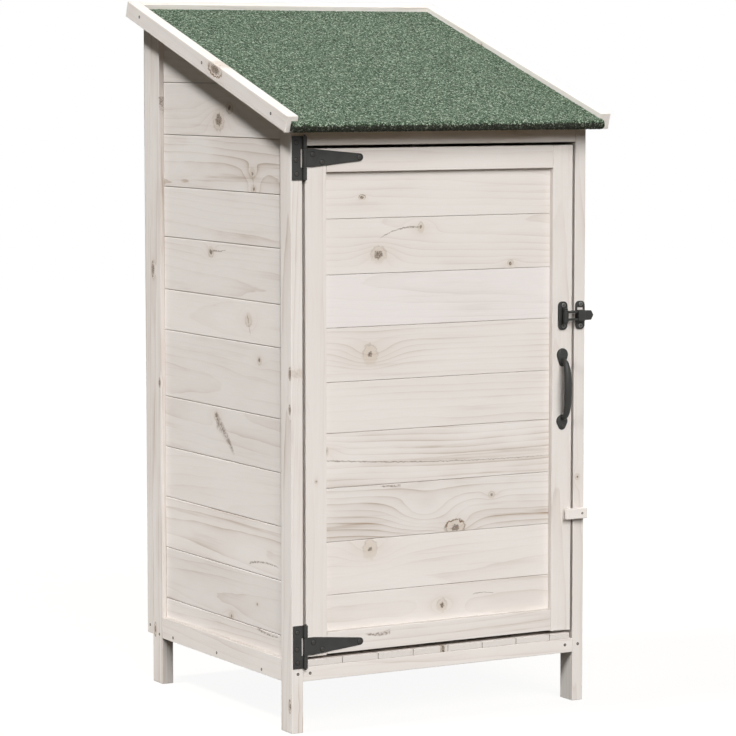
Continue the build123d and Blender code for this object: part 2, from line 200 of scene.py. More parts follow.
def wood_material(name, paint, timber, cover, contrast):
    """cover: how much the wash hides the wood; contrast: how dark the rings stay through it."""
    mat, t = new_material(name)

    def attribute(key):
        return node(t, "ShaderNodeAttribute", attribute_name=key).outputs["Vector"]

    def parts(vector):
        return node(t, "ShaderNodeSeparateXYZ", {0: vector}).outputs

    def plus(a, b, clamp=False):
        return math_node(t, "ADD", a, b, clamp=clamp)

    def minus(a, b):
        return math_node(t, "SUBTRACT", a, b)

    def times(a, b, clamp=False):
        return math_node(t, "MULTIPLY", a, b, clamp=clamp)

    def over(a, b):
        return math_node(t, "DIVIDE", a, b)

    def power(a, b):
        return math_node(t, "POWER", a, b)

    def larger(a, b):
        return math_node(t, "MAXIMUM", a, b)

    def unsigned(a):
        return math_node(t, "ABSOLUTE", a)

    def scaled(a, factor, base):
        return math_node(t, "MULTIPLY_ADD", a, factor, base)

    def square(a):
        return times(a, a)

    log, loc = attribute("log"), attribute("loc")
    tone, log_xyz, loc_xyz = parts(attribute("tone")), parts(log), parts(loc)
    wave = noise(t, stretch(t, log, (2.0, 8.0, 8.0)), 1.0, 2.0)
    ripple = noise(t, stretch(t, log, (11.0, 60.0, 60.0)), 1.0, 2.0)
    radius = math_node(t, "SQRT", plus(square(log_xyz[1]), square(log_xyz[2])))
    radius = scaled(wave, WAVE_DEEP, radius)
    radius = scaled(ripple, RIPPLE_DEEP, radius)

    # knots: a dark core, a ring round it, a pale disc and a wide halo that bends the growth rings
    core_mask, edge_mask, disc_mask, halo_mask = 0.0, 0.0, 0.0, 0.0
    wobble = noise(t, loc, 190.0, 3.0)
    crumb = remap(t, noise(t, loc, 850.0, 2.0), 0.38, 0.58, 0.4, 1.0)
    cores, flats = parts(attribute("kc")), parts(attribute("ka"))
    for i, key in enumerate(KNOT_KEYS):
        knot = parts(attribute(key))
        size = larger(unsigned(knot[2]), TINY)
        shown = math_node(t, "GREATER_THAN", knot[2], 0.0)
        along = over(minus(loc_xyz[0], knot[0]), size)
        aside = over(minus(loc_xyz[1], knot[1]), size)
        ring = math_node(t, "SQRT", plus(square(times(along, flats[i])), square(aside)))
        ring = scaled(wobble, 0.9, minus(ring, 0.45))
        far = plus(times(square(along), 0.12), times(square(aside), 0.45))
        bell = math_node(t, "EXPONENT", times(far, -1.0))
        radius = plus(radius, times(bell, times(size, 1.3)))
        core = times(remap(t, over(ring, larger(cores[i], 0.05)), 1.15, 0.7), crumb)
        edge = remap(t, unsigned(minus(ring, 1.0)), 0.17, 0.02)
        edge = times(edge, remap(t, unsigned(minus(aside, 0.9)), 1.9, 0.2, 0.1, 1.0))
        edge = times(edge, remap(t, flats[i], 0.68, 0.88, 2.1, 0.5))
        disc = remap(t, ring, 1.3, 0.7)
        core_mask = larger(times(core, shown), core_mask)
        edge_mask = larger(times(edge, shown), edge_mask)
        disc_mask = larger(times(disc, shown), disc_mask)
        halo_mask = larger(times(bell, shown), halo_mask)

    # a spike knot: a thin bent branch mark from one point to another, thick at its start
    s1, s2 = parts(attribute("s1")), parts(attribute("s2"))
    reach = minus(s2[0], s1[0])
    sign = math_node(t, "SIGN", reach)
    reach = times(larger(unsigned(reach), TINY), sign)
    run = over(minus(loc_xyz[0], s1[0]), reach)
    bow = times(times(run, minus(1.0, run)), s2[2])
    line = scaled(minus(s2[1], s1[1]), run, plus(s1[1], bow))
    line = scaled(minus(wobble, 0.5), BRANCH_WOBBLE, line)
    off = unsigned(minus(loc_xyz[1], line))
    wide = times(s1[2], scaled(run, -0.7, 1.0))
    spike = remap(t, over(off, larger(wide, TINY)), 1.0, 0.1)
    ends = times(remap(t, run, -0.02, 0.04), remap(t, run, 1.0, 0.8))
    broken = remap(t, noise(t, loc, 330.0, 2.0), 0.4, 0.56, 0.3, 1.0)
    broken = larger(broken, remap(t, s1[2], 0.0014, 0.0026, 0.85, 0.0))
    spike = times(times(spike, broken), ends)

    # growth rings: each year dark towards its end, some years stronger than others
    phase = over(radius, RING_WIDE)
    year = math_node(t, "FLOOR", phase)
    strong = node(t, "ShaderNodeTexWhiteNoise", {"W": year}, noise_dimensions="1D").outputs["Value"]
    part = math_node(t, "FRACT", phase)
    fade = remap(t, part, 1.0, 0.965)
    late = scaled(power(part, 9.0), 0.7, times(power(part, 2.0), 0.3))
    late = times(times(late, fade), scaled(strong, 0.8, 0.2))
    fibre = noise(t, stretch(t, log, (26.0, 900.0, 900.0)), 1.0, 3.0, 0.6)
    streak = noise(t, stretch(t, log, (3.0, 110.0, 110.0)), 1.0, 3.0, 0.6)
    cloud = noise(t, stretch(t, log, (5.0, 16.0, 16.0)), 1.0, 3.0)
    thin = remap(t, cloud, 0.36, 0.68)

    # the wash over it, thin in places
    grain = times(late, scaled(thin, 0.75, 0.25))
    grain = times(grain, times(tone[1], contrast))
    worn = times(remap(t, streak, 0.52, 0.8), scaled(thin, 0.8, 0.2))
    bare = scaled(times(worn, tone[1]), 0.30, grain)
    bare = scaled(minus(fibre, 0.5), 0.12, bare)
    bare = scaled(times(minus(thin, 0.4), tone[1]), 0.07, bare)
    bare = plus(bare, 1.0 - cover, clamp=True)
    colour = mix_colour(t, bare, paint, timber)
    colour = mix_colour(t, times(halo_mask, 0.14), colour, KNOT_HALO)
    colour = mix_colour(t, times(disc_mask, 0.3), colour, KNOT_DISC)
    colour = mix_colour(t, times(edge_mask, scaled(wobble, 1.0, -0.05)), colour, KNOT_EDGE)
    dark = times(core_mask, scaled(wobble, 0.7, 0.55), clamp=True)
    colour = mix_colour(t, dark, colour, KNOT_CORE)
    colour = mix_colour(t, times(spike, 0.72), colour, BRANCH)
    # the tone multiplies the colour: the wood's own differences on most pieces, painted shade on a few
    light = node(t, "ShaderNodeCombineColor", {0: tone[0], 1: tone[0], 2: tone[2]}).outputs[0]
    colour = mix_colour(t, 1.0, colour, light, "MULTIPLY")

    height = scaled(fibre, 0.5, times(late, -0.35))
    height = scaled(edge_mask, -0.8, height)
    surface(t, colour, scaled(streak, 0.18, 0.6), bumps(t, 0.3, 0.0004, height), 0.2)
    return mat


def felt_material(name, shades, bitumen_and_shade, worn):
    """shades: colours from the hollows between the granules to the brightest.

    The last two colours darken the roll's lower side, the second as lighter grit in the first: partly the
    felt's tarry base where it rolls under, partly painted shade.
    """
    mat, t = new_material(name)
    place = node(t, "ShaderNodeTexCoord").outputs["Object"]
    clump = noise(t, place, 230.0, 3.0, 0.75, 0.6)
    grit = node(t, "ShaderNodeTexVoronoi", {"Vector": place, "Scale": 560.0}, feature="F1")
    grain = node(t, "ShaderNodeSeparateColor", {0: grit.outputs["Color"]}).outputs[0]
    fleck = noise(t, place, 900.0, 1.0)
    value = math_node(t, "ADD", math_node(t, "MULTIPLY", clump, 1.25), math_node(t, "MULTIPLY", grain, 0.8))
    value = math_node(t, "MULTIPLY_ADD", fleck, 0.5, value)
    ramp = node(t, "ShaderNodeValToRGB", {0: remap(t, value, 0.83, 1.72, smooth=False)})
    marks = ramp.color_ramp.elements
    for spot, rgb in zip((0.0, 1.0), (shades[0], shades[-1])):
        marks[int(spot)].position = spot
        marks[int(spot)].color = (*srgb(*rgb), 1)
    for spot, rgb in zip((0.32, 0.55, 0.76), shades[1:4]):
        marks.new(spot).color = (*srgb(*rgb), 1)
    height = math_node(t, "ADD", math_node(t, "MULTIPLY", grain, 0.6), clump)
    lifted = node(t, "ShaderNodeVectorMath", {0: place, 1: tuple(LIFT)}, operation="DOT_PRODUCT")
    below = math_node(t, "SUBTRACT", EAVE.dot(LIFT), lifted.outputs["Value"])
    # painted shade, partly tarry base: the roll turns dark towards its lower side
    under = remap(t, math_node(t, "MULTIPLY_ADD", value, -0.003, below), 0.0056, 0.0082)
    tar = mix_colour(t, remap(t, value, 1.46, 1.76), bitumen_and_shade, worn)
    colour = mix_colour(t, under, ramp.outputs[0], tar)
    surface(t, colour, 0.9, bumps(t, 0.8, 0.0014, height), 0.2)
    return mat


def iron_material(name, dark, light, rough_lo, rough_hi, metal, shine=0.5):
    mat, t = new_material(name)
    place = node(t, "ShaderNodeTexCoord").outputs["Object"]
    cloud = noise(t, place, 60.0, 3.0)
    speck = noise(t, place, 1100.0, 2.0)
    colour = mix_colour(t, remap(t, cloud, 0.3, 0.7), dark, light)
    rough = remap(t, cloud, 0.25, 0.75, rough_lo, rough_hi)
    surface(t, colour, rough, bumps(t, 0.25, 0.0002, speck), shine, metal)
    return mat


FELT_SHADES = ((25, 40, 27), (52, 71, 53), (79, 99, 78), (108, 127, 105), (178, 190, 172))
WASHED = wood_material("whitewashed_fir", srgb(236, 230, 225), srgb(160, 130, 100), 0.96, 0.62)
PLAIN = wood_material("plain_fir", srgb(228, 208, 178), srgb(176, 132, 88), 0.84, 0.55)
FELT = felt_material("green_mineral_felt", FELT_SHADES, srgb(40, 43, 35), srgb(112, 118, 103))
IRON = iron_material("black_iron", srgb(44, 44, 43), srgb(53, 53, 51), 0.42, 0.58, 0.0, 0.32)
ZINC = iron_material("bright_screw", srgb(128, 126, 122), srgb(176, 174, 170), 0.32, 0.5, 1.0)
DARK_SCREW = iron_material("dark_screw", srgb(44, 44, 43), srgb(62, 62, 60), 0.35, 0.5, 0.2, 0.35)
IRON_SCREW = iron_material("iron_screw", srgb(84, 84, 83), srgb(104, 104, 102), 0.35, 0.5, 0.3)
# a near-black ring round each iron screw head: painted shade of its countersink
SHADE = iron_material("screw_rim_shade", srgb(22, 22, 22), srgb(30, 30, 30), 0.6, 0.8, 0.0, 0.2)
# dark brown for screw slots and countersinks: painted shade in those recesses
PIT = iron_material("screw_pit_shade", srgb(52, 40, 30), srgb(70, 54, 42), 0.7, 0.9, 0.0)

# knots are (place, radius) or (place, radius, share of dark core, squeeze along the grain)
CORE, ROUND, LONG = 0.45, 1.0, 0.45
NO_MARK = (0.0, 0.0, 0.0)


class Batch:
    """Collects separate solids into one mesh, each with its own grain, tone and knots."""

    def __init__(self):
        self.verts = []
        self.faces = []
        self.attrs = {key: [] for key in ATTRIBUTES}

    def take(self, bm, grain, facing, rnd, tone=1.0, strength=1.0, knots=(), spike=None, figure=None):
        """Add a bmesh as one piece of timber; grain is its long direction, facing its best face."""
        along = grain.normalized()
        out = (facing - along * facing.dot(along)).normalized()
        aside = out.cross(along)
        points = [v.co.copy() for v in bm.verts]
        mid = (Vector(map(min, *points)) + Vector(map(max, *points))) / 2
        pith_across = rnd.uniform(-0.05, 0.05)
        pith_deep = -rnd.uniform(0.022, 0.075)
        lean_across, lean_deep = rnd.uniform(-0.02, 0.02), rnd.uniform(-0.035, 0.035)
        shift = rnd.uniform(-40.0, 40.0)
        spread = 1.0
        if figure:
            pith_across, pith_deep, lean_across, lean_deep, spread = figure
        warm, cool = tone if isinstance(tone, tuple) else (tone, tone)
        marks, cores, flats = [], [], []
        for where, size, *form in list(knots)[:3]:
            core, flat = form or (CORE, ROUND)
            q = where - mid
            marks.append((q.dot(along), q.dot(aside), size))
            cores.append(core)
            flats.append(flat)
        for bag, blank in ((marks, NO_MARK), (cores, CORE), (flats, ROUND)):
            bag += [blank] * (3 - len(bag))
        branch = (NO_MARK, NO_MARK)
        if spike:
            p0, p1 = spike[0] - mid, spike[1] - mid
            branch = ((p0.dot(along), p0.dot(aside), spike[2]), (p1.dot(along), p1.dot(aside), spike[3]))
        base = len(self.verts)
        for p in points:
            q = p - mid
            a, b, d = q.dot(along), q.dot(aside), q.dot(out)
            pith_b = (b - pith_across + lean_across * a) * spread
            pith_d = (d - pith_deep + lean_deep * a) * spread
            values = [(a + shift, pith_b, pith_d), (a, b, d), (warm, strength, cool)]
            values += [*marks, cores, flats, *branch]
            self.verts.append(p)
            for key, value in zip(ATTRIBUTES, values):
                self.attrs[key].append(value)
        bm.verts.index_update()
        for f in bm.faces:
            self.faces.append([base + v.index for v in f.verts])
        bm.free()

    def make(self, name, material, body, replaces):
        mesh = bpy.data.meshes.new(name)
        mesh.from_pydata([tuple(v) for v in self.verts], [], self.faces)
        for key, values in self.attrs.items():
            layer = mesh.attributes.new(key, "FLOAT_VECTOR", "POINT")
            layer.data.foreach_set("vector", np.array(values, dtype=np.float32).ravel())
        return finish_piece(name, mesh, material, body, replaces)


def finish_piece(name, mesh, material, body, replaces=(), smooth=False):
    mesh.validate()
    if smooth:
        mesh.shade_smooth()
        mesh.set_sharp_from_angle(angle=math.radians(50))
    mesh.materials.append(material)
    piece = bpy.data.objects.new(name, mesh)
    bpy.context.scene.collection.objects.link(piece)
    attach(piece, body)
    if replaces:
        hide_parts(*replaces)
    return piece


def prism(outline, axis, lo, hi, bevel=0.0009, segments=2):
    """A closed prism from lo to hi along axis, its edges eased; the outline is in the two other axes."""
    bm = bmesh.new()
    order = {"x": (1, 2, 0), "y": (0, 2, 1), "z": (0, 1, 2)}[axis]
    rings = []
    for w in (lo, hi):
        ring = []
        for u, v in outline:
            co = [0.0, 0.0, 0.0]
            co[order[0]], co[order[1]], co[order[2]] = u, v, w
            ring.append(bm.verts.new(co))
        rings.append(ring)
    bm.faces.new(rings[0])
    bm.faces.new(list(reversed(rings[1])))
    count = len(outline)
    for i in range(count):
        j = (i + 1) % count
        bm.faces.new((rings[0][j], rings[0][i], rings[1][i], rings[1][j]))
    bmesh.ops.recalc_face_normals(bm, faces=bm.faces)
    if bevel:
        bmesh.ops.bevel(
            bm, geom=list(bm.edges), offset=bevel, segments=segments, profile=0.6, affect="EDGES",
            clamp_overlap=True)
    return bm


def stacked(rings):
    """A closed solid through rings of points, with a flat face on the first and on the last."""
    bm = bmesh.new()
    loops = [[bm.verts.new(p) for p in ring] for ring in rings]
    count = len(rings[0])
    for lower, upper in zip(loops, loops[1:]):
        for i in range(count):
            j = (i + 1) % count
            bm.faces.new((lower[i], lower[j], upper[j], upper[i]))
    bm.faces.new(loops[-1])
    bm.faces.new(list(reversed(loops[0])))
    bmesh.ops.recalc_face_normals(bm, faces=bm.faces)
    return bm


def rect(u0, u1, v0, v1):
    return [(u0, v0), (u1, v0), (u1, v1), (u0, v1)]


def circle(cu, cv, r, steps=24):
    turns = [2 * math.pi * i / steps for i in range(steps)]
    return [(cu + r * math.cos(a), cv + r * math.sin(a)) for a in turns]


def clip_top(outline):
    """Cut a (y, z) outline to what lies under the roof deck."""
    kept = []
    for (y0, z0), (y1, z1) in zip(outline, outline[1:] + outline[:1]):
        a, b = under_deck(y0) - z0, under_deck(y1) - z1
        if a >= 0:
            kept.append((y0, z0))
        if (a < 0) != (b < 0) and abs(a) > 1e-9 and abs(b) > 1e-9:
            s = a / (a - b)
            kept.append((y0 + (y1 - y0) * s, z0 + (z1 - z0) * s))
    return kept


# timbers: each follows the box of its CAD node, with eased edges and a grain of its own
rnd = random.Random(41)
TIMBER_EASE, BOARD_EASE, TONGUE_EASE = 0.0011, 0.0008, 0.0002
NEAR_DECK = 0.0015


def timber(name, grain, facing, body, knots=(), tone=1.0, strength=1.0, material=WASHED,
           bevel=TIMBER_EASE, spike=None):
    lo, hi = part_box(name)
    outline = rect(lo[1], hi[1], lo[2], hi[2])
    if abs(hi[2] - under_deck(hi[1])) < NEAR_DECK:
        outline = clip_top(outline)
    batch = Batch()
    batch.take(prism(outline, "x", lo[0], hi[0], bevel), grain, facing, rnd, tone, strength, knots, spike)
    return batch.make("wood_" + name, material, body, [name])


front_left_knots = [
    (at(0, 4, 567), 0.0045, 0.75, LONG), (at(0, 5, 511), 0.0036, 0.8, LONG),
    (at(0, 6, 43), 0.0045, 0.6, LONG)]
back_left_knots = [
    (at(0, 487, 703), 0.0058, 0.75, LONG), (at(0, 464.5, 513), 0.0034, 0.85, LONG),
    (at(0, 487, 90), 0.005, 0.6, LONG)]
back_left_spike = (at(0, 459, 992), at(0, 457.5, 950), 0.0045, 0.0)
door_rail_spike = (at(178, 0, 147), at(130, 0, 147.5), 0.006, -0.01)
timber("front_left_post", UP, -RIGHT, "frame", front_left_knots, strength=1.3)
# its low tone is painted shade, taking back the light that the left_leg lamp adds to its front
timber("front_right_post", UP, -BACK, "frame", [(at(533, 0, 372), 0.005)], tone=0.875, strength=0.6)
timber("back_left_post", UP, -RIGHT, "frame", back_left_knots, strength=1.5, spike=back_left_spike)
timber("back_right_post", UP, RIGHT, "frame", [(at(RIGHT_FACE, 470, 620), 0.005)], strength=0.8)
timber("left_bottom_rail", BACK, -RIGHT, "frame", strength=0.6)
timber("right_bottom_rail", BACK, RIGHT, "frame", [(at(RIGHT_FACE, 210, 96), 0.004)], strength=0.7)
timber("back_left_stile", UP, BACK, "frame", [(at(18, BACK_FACE, 701), 0.005)], tone=0.99, strength=0.8)
timber("back_right_stile", UP, BACK, "frame", [(at(530, BACK_FACE, 402), 0.005)], strength=0.8)
timber("back_bottom_rail", RIGHT, BACK, "frame", strength=0.8)
timber("back_top_rail", RIGHT, BACK, "frame", [(at(340, BACK_FACE, 1100), 0.004)], strength=0.8)
# the header's low tone is painted shade under the eave
timber("front_header", RIGHT, -BACK, "frame", tone=0.93, strength=0.8)
timber("front_bottom_rail", RIGHT, -BACK, "frame", tone=1.03, strength=0.6)
timber("back_floor_bearer", RIGHT, BACK, "frame", strength=0.9, material=PLAIN)
timber("door_left_stile", UP, -BACK, "door", [(at(44, 0, 396), 0.003)], strength=0.45, bevel=0.002)
# its low tone is painted shade, taking back the light that the left_stile lamp adds to its front
timber("door_right_stile", UP, -BACK, "door", tone=0.965, strength=0.45)
timber("door_top_rail", RIGHT, -BACK, "door", strength=0.6)
timber("door_bottom_rail", RIGHT, -BACK, "door", strength=0.9, spike=door_rail_spike)


def sloping(name, x0, x1, run, drop, grain, facing, strength, knots=()):
    """A board on the roof's slope: from a run to the roof's back end, and from its top edge to a drop."""
    batch = Batch()
    solid = prism(roof_slab(run, BARGE, 0, drop), "x", x0, x1, TIMBER_EASE)
    batch.take(solid, grain, facing, rnd, 1.0, strength, knots)
    return batch.make("wood_" + name, WASHED, "frame", [name])


left_barge_knots = [(at(BARGE_LEFT, 206.8, 1036.8), 0.0105, 0.7, LONG)]
right_barge_knots = [(at(BARGE_RIGHT, 330, 1078), 0.0042)]
sloping("left_barge_board", -INNER - BARGE_WIDE, -INNER, 0, BARGE_TALL, RISE, -RIGHT, 0.6, left_barge_knots)
sloping("right_barge_board", INNER, INNER + BARGE_WIDE, 0, BARGE_TALL, RISE, RIGHT, 0.6, right_barge_knots)
sloping("back_roof_trim", -INNER, INNER, DECK_RUN, DECK_BASE, RIGHT, RISE, 0.7)

# rafters, cut to the roof slope
for name in ("left_rafter", "right_rafter"):
    lo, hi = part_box(name)
    fall = RAFTER_TALL / math.cos(SLOPE)
    front_top, back_top = under_deck(lo[1]), under_deck(hi[1])
    shape = [(lo[1], front_top - fall), (hi[1], back_top - fall), (hi[1], back_top), (lo[1], front_top)]
    batch = Batch()
    batch.take(prism(shape, "x", lo[0], hi[0]), RISE, RIGHT, rnd)
    batch.make("wood_" + name, PLAIN, "frame", [name])


# boarding: separate tongued boards, each eased along its joints
JOINT, SIDE_JOINT = 0.0003, 0.0005
# the tongues are darker, as painted shade deep in the joints
TONGUE_REACH, TONGUE_HALF, TONGUE_SHADE_TONE = 0.004, 0.0016, 0.65


def boarding(name, joints, axis, grain, facing, body, knots=(), looks=(), spikes=(), gap=JOINT):
    """Boards between the joint heights; axis goes through them, and a look is (tone, strength, figure)."""
    lo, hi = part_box(name)
    thick, wide = (0, 1) if axis == "x" else (1, 0)
    mid = (lo[thick] + hi[thick]) / 2

    def strip(z0, z1):
        outline = rect(lo[wide], hi[wide], z0, z1)
        return clip_top(outline) if axis == "x" else outline

    batch = Batch()
    for i, (z0, z1) in enumerate(zip(joints, joints[1:])):
        first, last = i == 0, i == len(joints) - 2
        outline = strip(z0 + (0 if first else gap), z1 - (0 if last else gap))
        plain = (rnd.uniform(0.985, 1.01), rnd.uniform(0.5, 0.95))
        tone, strength, figure = (*(looks[i] if looks else plain), None)[:3]
        here = [knot for knot in knots if z0 <= knot[0].z < z1]
        spike = next((branch for branch in spikes if z0 <= branch[0].z < z1), None)
        board = prism(outline, axis, lo[thick], hi[thick], BOARD_EASE)
        batch.take(board, grain, facing, rnd, tone, strength, here, spike, figure)
        if not last:
            tongue = strip(z1 - TONGUE_REACH, z1 + TONGUE_REACH)
            tongue = prism(tongue, axis, mid - TONGUE_HALF, mid + TONGUE_HALF, TONGUE_EASE, 1)
            batch.take(tongue, grain, facing, rnd, TONGUE_SHADE_TONE, strength)
    return batch.make("boards_" + name, WASHED, body, [name])


SIDE_JOINTS = [0.1146, 0.148, 0.235, 0.321, 0.406, 0.491, 0.603, 0.671, 0.7588, 0.8427, 0.929, 1.015, 1.108]
side_knots = [(at(SET_BACK, d, z), r, core, flat) for d, z, r, core, flat in (
    (259, 956, 0.0165, 0.6, 0.85), (220.6, 975.7, 0.009, 0.45, 0.8), (138, 848, 0.0075, 0.45, 0.9),
    (142.4, 873, 0.0095, 0.35, 1.0), (288, 742, 0.0085, 0.5, 0.85), (158, 640, 0.011, 0.2, 1.0),
    (121, 578, 0.007, 0.5, 1.0), (272, 476, 0.008, 0.55, 1.0), (220.5, 153, 0.008, 0.4, 1.0),
    (131, 186, 0.003, 0.5, 1.0))]
side_spikes = [(at(SET_BACK, d0, z0), at(SET_BACK, d1, z1), wide, bow) for d0, z0, d1, z1, wide, bow in (
    (142, 868, 136, 846, 0.005, 0.0), (284, 744, 232, 748, 0.0028, 0.006), (162, 648, 150, 614, 0.006, 0.0),
    (272, 470, 205, 415, 0.02, -0.02), (158, 249, 50, 254, 0.0032, -0.02), (132, 147, 52, 144, 0.004, 0.012))]
side_looks = [
    (1.0, 0.8), (0.985, 0.7), (1.05, 1.1), (1.03, 0.45), (0.99, 0.8), (1.0, 0.6),
    (1.045, 0.4), (1.01, 0.6), (1.0, 0.8), (0.99, 1.7), (1.0, 0.6), (1.0, 0.6)]
right_knots = [(at(RIGHT_FACE - SET_BACK, d, z), r) for d, z, r in (
    (200, 880, 0.0095), (310, 700, 0.009), (170, 560, 0.011), (350, 360, 0.009), (230, 270, 0.008))]
boarding(
    "left_wall_boards", SIDE_JOINTS, "x", BACK, -RIGHT, "frame", side_knots, side_looks, side_spikes,
    gap=SIDE_JOINT)
boarding("right_wall_boards", SIDE_JOINTS, "x", BACK, RIGHT, "frame", right_knots, gap=SIDE_JOINT)

DOOR_JOINTS = [0.1561, 0.2132, 0.2974, 0.3828, 0.469, 0.5494, 0.6346, 0.718, 0.805, 0.8785]
door_knots = [(at(x, SET_BACK, z), r, core, flat) for x, z, r, core, flat in (
    (161, 747, 0.0125, 0.56, 0.9), (406, 726, 0.0058, 0.5, 1.0), (131, 838, 0.0042, 0.6, 0.7),
    (238, 788, 0.0085, 0.35, 1.5), (145.4, 590, 0.0165, 0.24, 1.25), (303, 304, 0.0125, 0.42, 0.7),
    (145.4, 281, 0.0155, 0.26, 1.25), (278.7, 179.5, 0.0105, 0.45, 1.1), (245, 330, -0.02, 0.4, 1.0),
    (372, 352, 0.006, 0.4, 1.0), (64, 441, 0.009, 0.75, 1.6))]
door_spikes = [(at(x0, SET_BACK, z0), at(x1, SET_BACK, z1), wide, bow) for x0, z0, x1, z1, wide, bow in (
    (237, 788, 158, 770, 0.0026, 0.03), (62, 427, 520, 411, 0.0016, -0.026),
    (202, 378, 160, 380, 0.0034, 0.0), (337, 193, 381, 190.4, 0.0012, 0.0085))]
door_looks = [
    (1.0, 0.6), (1.01, 0.5), (0.955, 2.0, (-0.12, -0.02, 0.02, 0.02, 0.8)),
    (0.99, 1.7, (0.17, -0.01, 0.01, 0.0, 0.85)), (1.0, 0.6), (1.0, 0.7, (-0.12, -0.03, 0.01, 0.0, 1.0)),
    ((1.015, 1.04), 0.45), (1.0, 0.6), (1.0, 0.6)]
boarding("door_boards", DOOR_JOINTS, "y", RIGHT, -BACK, "door", door_knots, door_looks, door_spikes)

SHORTEST_BOARD = 0.02
lo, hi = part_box("back_wall_boards")
back_joints = [lo[2]] + [z for z in SIDE_JOINTS[1:-1] if z < hi[2] - SHORTEST_BOARD] + [hi[2]]
back_knots = [(at(x, BACK_FACE - SET_BACK, z), r) for x, z, r in (
    (130, 950, 0.009), (390, 800, 0.009), (220, 630, 0.011), (420, 450, 0.009), (160, 270, 0.009))]
boarding("back_wall_boards", back_joints, "y", RIGHT, BACK, "frame", back_knots)

# floor slats run from the front to the back, one with a knot at its front end
SLAT_PITCH, SLAT_GAP, SLAT_LEAST = 0.06487, 0.001, 0.005
lo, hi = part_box("floor_boards")
end_knot = (Vector((across(276), lo[1], hi[2])), 0.0042, 0.7, LONG)
batch = Batch()
x0 = lo[0]
while x0 < hi[0] - SLAT_LEAST:
    x1 = min(x0 + SLAT_PITCH - SLAT_GAP, hi[0])
    knots = [(Vector(((x0 + x1) / 2 + rnd.uniform(-0.015, 0.015), rnd.uniform(-0.2, 0.2), hi[2])), 0.006)]
    if x0 < end_knot[0].x < x1:
        knots.append(end_knot)
    slat = prism(rect(x0, x1, lo[2], hi[2]), "y", lo[1], hi[1], BOARD_EASE)
    batch.take(slat, BACK, UP, rnd, 0.99, 0.35, knots)
    x0 += SLAT_PITCH
batch.make("boards_floor_boards", WASHED, "frame", ["floor_boards"])

# roof deck boards run across under the felt
DECK_COUNT = 7
batch = Batch()
for i in range(DECK_COUNT):
    run0 = DECK_RUN * i / DECK_COUNT + JOINT
    run1 = DECK_RUN * (i + 1) / DECK_COUNT - JOINT
    board = prism(roof_slab(run0, run1, DECK_TOP, DECK_BASE), "x", -INNER, INNER, BOARD_EASE)
    batch.take(board, RIGHT, -LIFT, rnd, rnd.uniform(0.95, 1.0), 1.0)
batch.make("boards_roof_deck", PLAIN, "frame", ["roof_deck"])


# felt: a gritty sheet over the deck, rolled down over the front edge
def grid_mesh(name, points, closed=False):
    """points: rows of rows of Vectors."""
    rows, cols = len(points), len(points[0])
    verts = [tuple(p) for row in points for p in row]
    faces = []
    for i in range(rows - 1):
        for j in range(cols if closed else cols - 1):
            k = (j + 1) % cols
            faces.append((i * cols + j, i * cols + k, (i + 1) * cols + k, (i + 1) * cols + j))
    mesh = bpy.data.meshes.new(name)
    mesh.from_pydata(verts, [], faces)
    return mesh


def way(i, count):
    """How far row i lies along a sheet; the first and last rows lie on their neighbours, as its edge."""
    return min(max(i - 1, 0), count - 3) / (count - 3)


grit = np.random.default_rng(7)
SHEET_ROWS, SHEET_COLS = 224, 216
rough = grit.normal(0.0, 0.00022, (SHEET_ROWS, SHEET_COLS))
sheet = []
for i in range(SHEET_ROWS):
    line = []
    for j in range(SHEET_COLS):
        edge = i in (0, SHEET_ROWS - 1) or j in (0, SHEET_COLS - 1)
        drop = FELT_TUCK if edge else FELT_TOP + max(-0.0004, min(rough[i, j], 0.0006))
        y, z = roof_point(DECK_RUN * way(i, SHEET_ROWS), drop)
        line.append(Vector((-INNER + 2 * INNER * way(j, SHEET_COLS), y, z)))
    sheet.append(line)
felt_mesh = grid_mesh("felt_sheet", sheet)

# the roll in front: flat above and below, round between, closed at both ends
NOSE_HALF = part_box("roof_felt")[1][0]
NOSE_SHORT = 0.0095
NOSE_ROWS, NOSE_SIDES = 300, 20
NOSE_OUT, NOSE_ROUND, NOSE_END = 0.0065, 0.0078, 0.003
NOSE_MID, NOSE_BASE = 0.0158, 0.0236
NOSE_FLAT = 0.12
wild = grit.normal(0.0, 0.00045, (NOSE_ROWS, NOSE_SIDES))
nose_rows = []
for i in range(NOSE_ROWS):
    x = -NOSE_HALF + (2 * NOSE_HALF - NOSE_SHORT) * way(i, NOSE_ROWS)
    ring = []
    for j in range(NOSE_SIDES):
        s = j / (NOSE_SIDES - 1)
        if i in (0, NOSE_ROWS - 1):
            run, drop = -NOSE_END, NOSE_MID
        elif s < NOSE_FLAT:
            run, drop = -NOSE_OUT * s / NOSE_FLAT, FELT_TOP
        elif s > 1 - NOSE_FLAT:
            run, drop = -NOSE_OUT * (1 - s) / NOSE_FLAT, NOSE_BASE
        else:
            turn = math.pi * (s - NOSE_FLAT) / (1 - 2 * NOSE_FLAT)
            size = NOSE_ROUND + max(-0.0012, min(wild[i, j], 0.0004))
            run, drop = -NOSE_OUT - size * math.sin(turn), NOSE_MID - size * math.cos(turn)
        y, z = roof_point(run, drop)
        ring.append(Vector((x, y, z)))
    nose_rows.append(ring)
nose_mesh = grid_mesh("felt_nose", nose_rows, closed=True)
finish_piece("felt_sheet", felt_mesh, FELT, "frame", ["roof_felt"])
finish_piece("felt_nose", nose_mesh, FELT, "frame", ())


